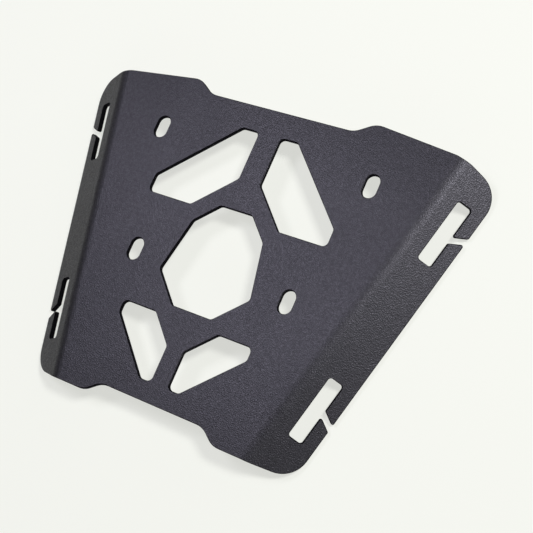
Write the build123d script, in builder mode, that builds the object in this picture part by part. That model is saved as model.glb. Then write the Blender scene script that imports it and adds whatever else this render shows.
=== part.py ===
from build123d import *
from math import cos, radians, sin, tan
import os

# Motorcycle rear luggage rack: one sheet, laser cut and folded down along two slanted lines.
# Millimetres. X is across the rack, Y runs along it towards the wide end, Z is up.
# The origin is in the middle of the footprint, on the surface that the flange edges rest on.

# Sheet and folds
sheet = 3.0
edge_break = 0.4
fold_angle = 31.0
fold_inner_radius = 10.0
side_slant = 14.45
fold_line_x = 92.2
flange_depth = 27.4

# Deck outline, the half to the right of the Y axis
narrow_lobe_y = -99.9
narrow_lobe_width = 17.5
narrow_ramp = 9.7
narrow_recess_depth = 7.4
wide_lobe_y = 100.2
wide_lobe_slope = 6.3
wide_recess_half = 48.8
wide_ramp = 11.5
wide_recess_depth = 7.6
recess_radius = 12.0

# Flange outline
flange_corner_radius = 16.0
fold_end_slope = 0.6
flange_end_slope = 9.2
fold_end_radius = 14.0

# Octagon in the middle of the deck
octagon_wide_y = 28.2
octagon_narrow_y = -36.0
octagon_top_half = 10.7
octagon_bottom_half = 13.5
octagon_shoulder = (24.1, 14.8)
octagon_hip = (31.2, -18.3)
opening_radius = 3.2

# Cut-outs at the wide end: a rectangle with two opposite corners cut away
wide_cut_margin = 15.5
wide_cut_inner_x = 7.4
wide_cut_outer_x = 61.3
wide_cut_bottom_y = 23.8
wide_cut_tip = 11.5
wide_cut_heel = 10.9
wide_cut_corner = 23.0

# Cut-outs at the narrow end, the same shape turned over
narrow_cut_margin = 11.5
narrow_cut_inner_x = 5.8
narrow_cut_outer_x = 44.3
narrow_cut_top_y = -42.7
narrow_cut_tip = 7.8
narrow_cut_heel = 7.6
narrow_cut_corner = 16.0

# Mounting slots for M8 bolts, parallel to the Y axis
mount_slot_width = 8.6
mount_slot_length = 14.0
wide_slot_x = 71.8
wide_slot_y = 64.3
narrow_slot_x = 52.5
narrow_slot_y = -12.2

# Strap slots in the flanges: a bar along the edge and a slanted mouth through the lip
strap_slot_length = 38.0
strap_slot_width = 8.8
strap_lip = 7.8
strap_corner_radius = 1.8
strap_mouth_width = 3.2
strap_mouth_slant = 30.0
strap_mouth_shift = 1.3
strap_lip_radius = 1.1
wide_strap_inset = 38.9
narrow_strap_inset = 42.9

# Directions and planes of the right-hand side, worked out from the sizes above
fold_outer_radius = fold_inner_radius + sheet
fold_setback = fold_outer_radius * tan(radians(fold_angle / 2))
fold_length = radians(fold_angle) * (fold_inner_radius + sheet / 2)
drop = sin(radians(fold_angle))
reach = cos(radians(fold_angle))
deck_z = flange_depth * drop + sheet * reach - edge_break * min(drop, reach)
up = Vector(0, 0, 1)
along = Vector(sin(radians(side_slant)), cos(radians(side_slant)), 0)
outward = Vector(cos(radians(side_slant)), -sin(radians(side_slant)), 0)
flange_out = outward * reach - up * drop
flange_up = outward * drop + up * reach
fold_start = outward * (fold_line_x * cos(radians(side_slant)) - fold_setback) + up * deck_z
fold_centre = fold_start - up * fold_outer_radius
fold_end = fold_centre + flange_up * fold_outer_radius
start_plane = Plane(origin=fold_start, x_dir=along, z_dir=outward)
end_plane = Plane(origin=fold_end, x_dir=along, z_dir=flange_out)
flange_plane = Plane(origin=fold_end, x_dir=flange_out, z_dir=flange_up)
deck_plane = Plane.XY.offset(deck_z)

# The narrow end of the sheet runs straight over the fold and on into the flange.
# The wide end turns back in two steps, one just before the fold and one just after it.
slant = tan(radians(side_slant))
start_x = fold_line_x - fold_setback / cos(radians(side_slant))
narrow_start = Vector(start_x + slant * narrow_lobe_y, narrow_lobe_y)
narrow_lobe_start = narrow_start.X - narrow_lobe_width
narrow_recess_half = narrow_lobe_start - narrow_ramp
narrow_recess_y = narrow_lobe_y + narrow_recess_depth
wide_lobe_start = wide_recess_half + wide_ramp
wide_recess_y = wide_lobe_y - wide_recess_depth
wide_cut_top_y = wide_recess_y - wide_cut_margin
narrow_cut_bottom_y = narrow_recess_y + narrow_cut_margin
lobe_drop = tan(radians(wide_lobe_slope))
lobe_line_y = wide_lobe_y + lobe_drop * wide_lobe_start
fold_end_drop = tan(radians(fold_end_slope))
first_turn = side_slant - wide_lobe_slope + fold_end_slope
turn_run = fold_end_radius * tan(radians(first_turn / 2)) + edge_break
turn_x = start_x - turn_run / cos(radians(side_slant))
wide_turn_y = (lobe_line_y - lobe_drop * turn_x) / (1 + lobe_drop * slant)
wide_turn = Vector(turn_x + slant * wide_turn_y, wide_turn_y)
wide_start = wide_turn + outward * turn_run - along * turn_run * fold_end_drop

# The same places measured along the fold: at its start, at its end and at the flange's outer edge
narrow_s0 = narrow_start.dot(along)
wide_s0 = wide_start.dot(along)
narrow_s1 = narrow_s0 + fold_length * slant
wide_s1 = wide_s0 - fold_length * fold_end_drop
flange_width = flange_depth - fold_setback
flange_turn = (turn_run, wide_s1 - turn_run * fold_end_drop)
narrow_s2 = narrow_s1 + flange_width * slant
wide_s2 = flange_turn[1] - (flange_width - turn_run) * tan(radians(flange_end_slope))
wide_strap_y = wide_s1 - wide_strap_inset
narrow_strap_y = narrow_s1 + narrow_strap_inset
bar_middle = flange_width - strap_lip - strap_slot_width / 2
lip_middle = flange_width - strap_lip / 2
mouth_half = strap_mouth_width / 2 / cos(radians(strap_mouth_slant))

# One folded side: the bend and the flange, with its strap slots
with BuildPart() as side:
    with BuildSketch(start_plane):
        with Locations(((narrow_s0 + wide_s0) / 2, -sheet / 2)):
            Rectangle(wide_s0 - narrow_s0 + 4 * fold_length, sheet)
    revolve(axis=Axis(fold_centre, along), revolution_arc=fold_angle)
    with BuildSketch(start_plane):
        with Locations(((narrow_s0 + wide_s0) / 2, -sheet / 2)):
            Rectangle(wide_s0 - narrow_s0, 3 * sheet)
    with BuildSketch(end_plane):
        with Locations(((narrow_s1 + wide_s1) / 2, -sheet / 2)):
            Rectangle(wide_s1 - narrow_s1, 3 * sheet)
    loft(ruled=True, mode=Mode.INTERSECT)
    with BuildSketch(flange_plane) as flange:
        with BuildLine():
            Polyline(
                (0, narrow_s1),
                (flange_width, narrow_s2),
                (flange_width, wide_s2),
                flange_turn,
                (0, wide_s1),
                close=True,
            )
        make_face()
        fillet(flange.vertices().sort_by(Axis.X)[-2:], radius=flange_corner_radius)
        fillet(flange.vertices().sort_by_distance(flange_turn)[0], radius=fold_end_radius)
        for strap_y, lean in ((narrow_strap_y, -1), (wide_strap_y, 1)):
            rate = lean * tan(radians(strap_mouth_slant))
            mouth_y = strap_y + lean * strap_mouth_shift
            inner_y = mouth_y + rate * (bar_middle - lip_middle)
            outer_y = mouth_y + rate * (flange_width + strap_lip - lip_middle)
            with Locations((bar_middle, strap_y)):
                RectangleRounded(
                    strap_slot_width, strap_slot_length, strap_corner_radius, mode=Mode.SUBTRACT
                )
            with BuildLine():
                Polyline(
                    (bar_middle, inner_y - mouth_half),
                    (flange_width + strap_lip, outer_y - mouth_half),
                    (flange_width + strap_lip, outer_y + mouth_half),
                    (bar_middle, inner_y + mouth_half),
                    close=True,
                )
            make_face(mode=Mode.SUBTRACT)
            lips = flange.vertices().filter_by_position(
                Axis.Y, strap_y - 0.4 * strap_slot_length, strap_y + 0.4 * strap_slot_length
            )
            fillet(lips, radius=strap_lip_radius)
    extrude(amount=-sheet)

# The whole rack: the deck with its openings, and the folded side twice
with BuildPart() as rack_plate:
    with BuildSketch(deck_plane) as deck:
        with BuildLine():
            Polyline(
                (0, narrow_recess_y),
                (narrow_recess_half, narrow_recess_y),
                (narrow_lobe_start, narrow_lobe_y),
                narrow_start,
                wide_start,
                wide_turn,
                (wide_lobe_start, wide_lobe_y),
                (wide_recess_half, wide_recess_y),
                (0, wide_recess_y),
            )
            mirror(about=Plane.YZ)
        make_face()
        turns = (
            (narrow_recess_half, narrow_recess_y, recess_radius),
            (narrow_lobe_start, narrow_lobe_y, recess_radius),
            (wide_turn.X, wide_turn.Y, fold_end_radius),
            (wide_lobe_start, wide_lobe_y, recess_radius),
            (wide_recess_half, wide_recess_y, recess_radius),
        )
        for x, y, turn_radius in turns:
            fillet(deck.vertices().sort_by_distance((x, y))[0], radius=turn_radius)
            fillet(deck.vertices().sort_by_distance((-x, y))[0], radius=turn_radius)
    extrude(amount=-sheet)
    with BuildSketch(deck_plane) as openings:
        with BuildLine():
            Polyline(
                (0, octagon_wide_y),
                (octagon_top_half, octagon_wide_y),
                octagon_shoulder,
                octagon_hip,
                (octagon_bottom_half, octagon_narrow_y),
                (0, octagon_narrow_y),
            )
            mirror(about=Plane.YZ)
        make_face()
        with BuildLine():
            Polyline(
                (wide_cut_inner_x, wide_cut_top_y),
                (wide_cut_inner_x + wide_cut_tip, wide_cut_top_y),
                (wide_cut_outer_x, wide_cut_bottom_y + wide_cut_heel),
                (wide_cut_outer_x, wide_cut_bottom_y),
                (wide_cut_inner_x + wide_cut_corner, wide_cut_bottom_y),
                (wide_cut_inner_x, wide_cut_bottom_y + wide_cut_corner),
                close=True,
            )
        make_face()
        with BuildLine():
            Polyline(
                (narrow_cut_inner_x, narrow_cut_bottom_y),
                (narrow_cut_inner_x + narrow_cut_tip, narrow_cut_bottom_y),
                (narrow_cut_outer_x, narrow_cut_top_y - narrow_cut_heel),
                (narrow_cut_outer_x, narrow_cut_top_y),
                (narrow_cut_inner_x + narrow_cut_corner, narrow_cut_top_y),
                (narrow_cut_inner_x, narrow_cut_top_y - narrow_cut_corner),
                close=True,
            )
        make_face()
        mirror(about=Plane.YZ)
        fillet(openings.vertices(), radius=opening_radius)
        for x, y in ((wide_slot_x, wide_slot_y), (narrow_slot_x, narrow_slot_y)):
            with Locations((x, y), (-x, y)):
                SlotOverall(mount_slot_length, mount_slot_width, rotation=90)
    extrude(amount=-sheet, mode=Mode.SUBTRACT)
    add(side.part)
    mirror(side.part, about=Plane.YZ)
    skins = rack_plate.faces().sort_by(SortBy.AREA)[-10:]
    rim = rack_plate.edges().filter_by(
        lambda edge: sum(edge in skin.edges() for skin in skins) == 1
    )
    chamfer(rim, length=edge_break)
rack_plate.part.label = "rack_plate"

print("rack_plate", round(rack_plate.part.volume), "mm3", rack_plate.part.bounding_box().size)
os.makedirs("parts", exist_ok=True)
export_step(rack_plate.part, "parts/rack_plate.step")
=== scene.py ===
import bpy
import bmesh
from math import cos, radians, sin
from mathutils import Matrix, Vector

# Motorcycle rear luggage rack: one folded sheet with a fine-textured powder coat
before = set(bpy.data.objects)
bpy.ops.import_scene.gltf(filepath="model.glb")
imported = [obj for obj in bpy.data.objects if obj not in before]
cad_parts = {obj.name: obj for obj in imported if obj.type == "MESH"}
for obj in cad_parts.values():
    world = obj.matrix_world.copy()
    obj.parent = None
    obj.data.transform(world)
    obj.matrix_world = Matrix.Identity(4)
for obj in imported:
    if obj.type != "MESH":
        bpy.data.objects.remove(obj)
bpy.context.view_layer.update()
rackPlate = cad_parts["rack_plate"]
print("frame loaded", len(rackPlate.data.polygons), "faces")


# Node helpers
def addNode(tree, kind, place, **values):
    node = tree.nodes.new(kind)
    node.location = place
    for name, value in values.items():
        setattr(node, name, value)
    return node


def noiseLayer(tree, coords, place, settings):
    noise = addNode(tree, "ShaderNodeTexNoise", place)
    for name, value in settings.items():
        noise.inputs[name].default_value = value
    tree.links.new(coords, noise.inputs["Vector"])
    return noise.outputs["Fac"]


def remap(tree, value, place, lowIn, highIn, lowOut, highOut):
    node = addNode(tree, "ShaderNodeMapRange", place, interpolation_type="SMOOTHSTEP")
    node.inputs["From Min"].default_value = lowIn
    node.inputs["From Max"].default_value = highIn
    node.inputs["To Min"].default_value = lowOut
    node.inputs["To Max"].default_value = highOut
    tree.links.new(value, node.inputs["Value"])
    return node.outputs["Result"]


def mathStep(tree, operation, place, first, second=0.0):
    node = addNode(tree, "ShaderNodeMath", place, operation=operation)
    for socket, value in zip(node.inputs, (first, second)):
        if isinstance(value, (int, float)):
            socket.default_value = value
        else:
            tree.links.new(value, socket)
    return node.outputs["Value"]


def tintMix(tree, place, amount, first, second):
    node = addNode(tree, "ShaderNodeMix", place, data_type="RGBA", blend_type="MIX")
    tree.links.new(amount, node.inputs["Factor"])
    for socket, value in ((node.inputs[6], first), (node.inputs[7], second)):
        if isinstance(value, tuple):
            socket.default_value = (*value, 1.0)
        else:
            tree.links.new(value, socket)
    return node.outputs[2]


# The powder coat: charcoal with a slightly bluish sheen and a fine pebbled grain
coat = {
    "deckTone": (0.0200, 0.0195, 0.0222),
    "deckDeepTone": (0.0045, 0.0044, 0.0050),
    # painted shade in the pits between the pebbles
    "pitShadeTone": (0.004, 0.004, 0.0046),
    "speckTone": (0.0400, 0.0390, 0.0444),
    # painted shade on the cut walls and broken edges, partly a darker coat on the cut
    "wallShadeTone": (0.003, 0.003, 0.0035),
    "cloudShare": 0.3,                  # how much of the tone follows the slow clouds
    "blotchShare": 0.7,                 # and how much the small blotches
    "pitShadeShare": 0.55,
    "speckShare": 0.5,
    "roughLow": 0.39,                   # on the crowns
    "roughHigh": 0.52,                  # in the pits
    "roughBlotch": -0.04,               # a lighter blotch is this much smoother
    "roughCrowns": 0.6,                 # how much of the roughness follows the crowns
    "roughSpecks": 0.4,                 # and how much the specks
    "wallRough": 0.9,
    "wallShadeLoss": 0.9,                   # share of the sheen that a cut wall loses, painted shade in its reflection
    "specular": 0.94,
    "refraction": 1.38,
    "sheenTint": (0.89, 0.87, 1.0),
    "grainDepth": 0.000055,             # metres
    "speckDepth": 0.000115,
}

# Its layers on Object coordinates, in metres, and where each one fades in and out
grain = {
    "pebbles": {"Scale": 1300.0, "Smoothness": 0.15, "Randomness": 1.0},        # about 0.8 mm apart
    "specks": {"Scale": 1500.0, "Detail": 3.0, "Roughness": 0.6},
    "mottle": {"Scale": 430.0, "Detail": 2.0, "Roughness": 0.6},                # about 2 mm across
    "clouds": {"Scale": 14.0, "Detail": 3.0, "Roughness": 0.5, "Distortion": 0.6},
    "crownFade": (0.15, 0.75),
    "pitFade": (0.1, 0.6),
    "speckFade": (0.52, 0.75),
    "blotchFade": (0.36, 0.64),
    "cloudFade": (0.35, 0.65),
    "roughFade": (0.15, 0.75),
}

# What tells a cut wall from the folded skins, by its normal
walls = {
    "flangeTurn": 14.45,                # degrees that a fold line turns from the rack's length
    "skewFade": (0.20, 0.45),           # lean along the fold, which no skin has
    "backFade": (-0.20, -0.08),         # lean towards the middle, which no skin has
    "steepFade": (0.60, 0.80),          # no skin is steeper than the flanges
}


def cutWalls(tree, coords):
    spot = addNode(tree, "ShaderNodeSeparateXYZ", (-1300, -550))
    facing = addNode(tree, "ShaderNodeSeparateXYZ", (-1300, -750))
    tree.links.new(coords.outputs["Object"], spot.inputs["Vector"])
    tree.links.new(coords.outputs["Normal"], facing.inputs["Vector"])

    # The normal as the right half's top would have it: the left is mirrored, the underside turned over
    side = mathStep(tree, "SIGN", (-1100, -550), spot.outputs["X"])
    over = mathStep(tree, "SIGN", (-1100, -900), facing.outputs["Z"])
    across = mathStep(tree, "MULTIPLY", (-1000, -600), facing.outputs["X"], side)
    outward = mathStep(tree, "MULTIPLY", (-900, -550), across, over)
    along = mathStep(tree, "MULTIPLY", (-900, -750), facing.outputs["Y"], over)

    # Its lean across the fold line and along it
    turn = radians(walls["flangeTurn"])
    outTilt = mathStep(tree, "MULTIPLY", (-800, -550), outward, cos(turn))
    alongTilt = mathStep(tree, "MULTIPLY", (-800, -650), along, sin(turn))
    tilt = mathStep(tree, "SUBTRACT", (-700, -550), outTilt, alongTilt)
    outSkew = mathStep(tree, "MULTIPLY", (-800, -750), outward, sin(turn))
    alongSkew = mathStep(tree, "MULTIPLY", (-800, -850), along, cos(turn))
    lean = mathStep(tree, "ADD", (-700, -750), outSkew, alongSkew)
    skew = mathStep(tree, "ABSOLUTE", (-600, -750), lean)
    level = mathStep(tree, "ABSOLUTE", (-700, -950), facing.outputs["Z"])

    skewed = remap(tree, skew, (-450, -750), *walls["skewFade"], 0.0, 1.0)
    backward = remap(tree, tilt, (-450, -550), *walls["backFade"], 1.0, 0.0)
    steep = remap(tree, level, (-450, -950), *walls["steepFade"], 1.0, 0.0)
    leaning = mathStep(tree, "MAXIMUM", (-250, -650), skewed, backward)
    return mathStep(tree, "MAXIMUM", (-100, -650), leaning, steep)


def powderCoat():
    material = bpy.data.materials.new("powderCoat")
    material.use_nodes = True
    tree = material.node_tree
    tree.nodes.clear()
    output = addNode(tree, "ShaderNodeOutputMaterial", (900, 0))
    shader = addNode(tree, "ShaderNodeBsdfPrincipled", (600, 0))
    tree.links.new(shader.outputs["BSDF"], output.inputs["Surface"])
    coords = addNode(tree, "ShaderNodeTexCoord", (-1500, 0))
    place = coords.outputs["Object"]

    # Layers: rounded pebbles, specks finer than they are, small blotches and slow clouds
    pebbles = addNode(tree, "ShaderNodeTexVoronoi", (-1200, 300), feature="SMOOTH_F1")
    for name, value in grain["pebbles"].items():
        pebbles.inputs[name].default_value = value
    tree.links.new(place, pebbles.inputs["Vector"])
    crowns = remap(tree, pebbles.outputs["Distance"], (-950, 300), *grain["crownFade"], 1.0, 0.0)
    specks = noiseLayer(tree, place, (-1200, 0), grain["specks"])
    mottle = noiseLayer(tree, place, (-1200, -150), grain["mottle"])
    clouds = noiseLayer(tree, place, (-1200, -300), grain["clouds"])

    # Colour: clouds and blotches, painted shade darkening the pits between the pebbles, single light
    # specks
    slow = remap(tree, clouds, (-950, -300), *grain["cloudFade"], 0.0, 1.0)
    blotches = remap(tree, mottle, (-950, -150), *grain["blotchFade"], 0.0, 1.0)
    slowPart = mathStep(tree, "MULTIPLY", (-900, -250), slow, coat["cloudShare"])
    blotchPart = mathStep(tree, "MULTIPLY", (-900, -350), blotches, coat["blotchShare"])
    toneMix = mathStep(tree, "ADD", (-800, -250), slowPart, blotchPart)
    base = tintMix(tree, (-650, -200), toneMix, coat["deckDeepTone"], coat["deckTone"])
    hollows = remap(tree, crowns, (-800, 100), *grain["pitFade"], 1.0, 0.0)
    pits = mathStep(tree, "MULTIPLY", (-650, 200), hollows, coat["pitShadeShare"])
    pitShaded = tintMix(tree, (-400, -100), pits, base, coat["pitShadeTone"])
    brightest = remap(tree, specks, (-800, 0), *grain["speckFade"], 0.0, 1.0)
    speckMix = mathStep(tree, "MULTIPLY", (-650, 0), brightest, coat["speckShare"])
    specked = tintMix(tree, (-200, -100), speckMix, pitShaded, coat["speckTone"])

    # Painted shade: cut walls and their broken edges are darkened to nearly black and lose their
    # sheen, mostly for the shade they get and partly for a darker coat on the cut
    wall = cutWalls(tree, coords)
    colour = tintMix(tree, (100, -100), wall, specked, coat["wallShadeTone"])
    tree.links.new(colour, shader.inputs["Base Color"])
    wallShadeMetallic = mathStep(tree, "MULTIPLY", (200, -250), wall, coat["wallShadeLoss"])
    tree.links.new(wallShadeMetallic, shader.inputs["Metallic"])

    # Roughness: crowns shine a little more than pits, light blotches more than dark ones
    crownPart = mathStep(tree, "MULTIPLY", (-600, -350), crowns, coat["roughCrowns"])
    speckPart = mathStep(tree, "MULTIPLY", (-600, -450), specks, coat["roughSpecks"])
    height = mathStep(tree, "ADD", (-400, -350), crownPart, speckPart)
    grained = remap(tree, height, (-300, -350), *grain["roughFade"],
                    coat["roughHigh"], coat["roughLow"])
    smoother = mathStep(tree, "MULTIPLY", (-300, -500), toneMix, coat["roughBlotch"])
    skin = mathStep(tree, "ADD", (-100, -350), grained, smoother)
    dull = mathStep(tree, "MULTIPLY", (-100, -500), wall, coat["wallRough"])
    rough = mathStep(tree, "MAXIMUM", (200, -350), skin, dull)
    tree.links.new(rough, shader.inputs["Roughness"])
    shader.inputs["Specular IOR Level"].default_value = coat["specular"]
    shader.inputs["IOR"].default_value = coat["refraction"]
    shader.inputs["Specular Tint"].default_value = (*coat["sheenTint"], 1.0)

    # Relief: the pebbles, then the specks on them
    pebbleBump = addNode(tree, "ShaderNodeBump", (100, -700))
    pebbleBump.inputs["Strength"].default_value = 1.0
    pebbleBump.inputs["Distance"].default_value = coat["grainDepth"]
    tree.links.new(crowns, pebbleBump.inputs["Height"])
    speckBump = addNode(tree, "ShaderNodeBump", (350, -700))
    speckBump.inputs["Strength"].default_value = 1.0
    speckBump.inputs["Distance"].default_value = coat["speckDepth"]
    tree.links.new(specks, speckBump.inputs["Height"])
    tree.links.new(pebbleBump.outputs["Normal"], speckBump.inputs["Normal"])
    tree.links.new(speckBump.outputs["Normal"], shader.inputs["Normal"])
    return material


coatMaterial = powderCoat()
for slot in rackPlate.material_slots:
    slot.material = coatMaterial
print("powder coat on the rack plate,", len(rackPlate.material_slots), "slot")

# Pale studio floor: partly paper white by itself where it is seen, so that its shadows stay light
studio = {
    "floorSize": 16.0,                  # metres, so that no view shows an edge near the rack
    "floorTone": (0.83, 0.84, 0.785),
    "floorRough": 0.7,
    "paperTone": (0.945, 0.955, 0.905),
    "paperShare": 0.68,
}


def seenDirectly(tree, place):
    rays = addNode(tree, "ShaderNodeLightPath", place)
    seen = mathStep(tree, "MAXIMUM", (place[0] + 200, place[1]),
                    rays.outputs["Is Camera Ray"], rays.outputs["Is Glossy Ray"])
    return mathStep(tree, "MAXIMUM", (place[0] + 400, place[1]),
                    seen, rays.outputs["Is Transmission Ray"])


def paleFloor():
    mesh = bmesh.new()
    bmesh.ops.create_grid(mesh, x_segments=1, y_segments=1, size=studio["floorSize"] / 2)
    data = bpy.data.meshes.new("studioFloor")
    mesh.to_mesh(data)
    mesh.free()
    floor = bpy.data.objects.new("studioFloor", data)
    bpy.context.scene.collection.objects.link(floor)
    material = bpy.data.materials.new("paleFloor")
    material.use_nodes = True
    tree = material.node_tree
    tree.nodes.clear()
    output = addNode(tree, "ShaderNodeOutputMaterial", (600, 0))
    matt = addNode(tree, "ShaderNodeBsdfDiffuse", (100, 100))
    matt.inputs["Color"].default_value = (*studio["floorTone"], 1.0)
    matt.inputs["Roughness"].default_value = studio["floorRough"]
    paper = addNode(tree, "ShaderNodeEmission", (100, -100))
    paper.inputs["Color"].default_value = (*studio["paperTone"], 1.0)
    blend = addNode(tree, "ShaderNodeMixShader", (400, 0))
    share = mathStep(tree, "MULTIPLY", (200, 300),
                     seenDirectly(tree, (-600, 300)), studio["paperShare"])
    tree.links.new(share, blend.inputs["Fac"])
    tree.links.new(matt.outputs["BSDF"], blend.inputs[1])
    tree.links.new(paper.outputs["Emission"], blend.inputs[2])
    tree.links.new(blend.outputs["Shader"], output.inputs["Surface"])
    data.materials.append(material)


paleFloor()
print("floor laid")

# Soft studio light: a key from the right, a bluish sheet from the upper left, and a low bright ring
# of backdrop that stays dim on the left, where the rack shows a dark fold
lamps = {
    "key": {"place": (0.595, 0.350, 0.850), "size": 0.22, "power": 9.2, "tint": (1.0, 1.0, 1.0)},
    "sheet": {"place": (-0.375, 0.150, 0.846), "size": 0.28, "power": 3.68, "tint": (0.91, 0.89, 1.0)},
}
tent = {
    "dimLevel": 0.02,
    "ringLevel": 0.85,
    "ringFade": (0.30, 0.55),           # height of the direction where the ring fades out
    "leftward": (-0.99, 0.15, 0.0),
    "leftFade": (0.05, 0.50),           # how far to the left the ring fades out
    "tint": (1.0, 1.0, 0.98),
}


def softLamp(name, settings):
    data = bpy.data.lights.new(name, "AREA")
    data.shape = "SQUARE"
    data.size = settings["size"]
    data.energy = settings["power"]
    data.color = settings["tint"]
    lamp = bpy.data.objects.new(name, data)
    bpy.context.scene.collection.objects.link(lamp)
    lamp.location = settings["place"]
    lamp.rotation_euler = (-Vector(settings["place"])).to_track_quat("-Z", "Y").to_euler()
    lamp.visible_camera = False


def lightTent():
    world = bpy.data.worlds.new("lightTent")
    bpy.context.scene.world = world
    world.use_nodes = True
    tree = world.node_tree
    tree.nodes.clear()
    output = addNode(tree, "ShaderNodeOutputWorld", (800, 0))
    shader = addNode(tree, "ShaderNodeBackground", (600, 0))
    shader.inputs["Color"].default_value = (*tent["tint"], 1.0)
    coords = addNode(tree, "ShaderNodeTexCoord", (-600, 0))
    parts = addNode(tree, "ShaderNodeSeparateXYZ", (-400, 100))
    toLeft = addNode(tree, "ShaderNodeVectorMath", (-400, -100), operation="DOT_PRODUCT")
    toLeft.inputs[1].default_value = tent["leftward"]
    tree.links.new(coords.outputs["Generated"], parts.inputs["Vector"])
    tree.links.new(coords.outputs["Generated"], toLeft.inputs[0])
    low = remap(tree, parts.outputs["Z"], (-150, 100), *tent["ringFade"], tent["ringLevel"], 0.0)
    right = remap(tree, toLeft.outputs["Value"], (-150, -150), *tent["leftFade"], 1.0, 0.0)
    ring = mathStep(tree, "MULTIPLY", (150, 0), low, right)
    level = mathStep(tree, "ADD", (350, 0), ring, tent["dimLevel"])
    tree.links.new(level, shader.inputs["Strength"])
    tree.links.new(shader.outputs["Background"], output.inputs["Surface"])


for name, settings in lamps.items():
    softLamp(name, settings)
lightTent()
print("lamps and tent set")

# Camera at the photograph's angle
view = {
    "place": (0.307555, -0.094235, 0.549044),
    "turn": (19.68411, 21.34064, 25.06897),         # degrees about X, Y and Z
    "lens": 73.4445,
    "sensor": 36.0,
    "clip": (0.01, 50.0),
}
cameraData = bpy.data.cameras.new("camera")
cameraData.lens = view["lens"]
cameraData.sensor_width = view["sensor"]
cameraData.clip_start, cameraData.clip_end = view["clip"]
camera = bpy.data.objects.new("camera", cameraData)
bpy.context.scene.collection.objects.link(camera)
camera.location = view["place"]
camera.rotation_euler = [radians(angle) for angle in view["turn"]]
bpy.context.scene.camera = camera
bpy.context.scene.view_settings.view_transform = "Standard"
print("camera placed")
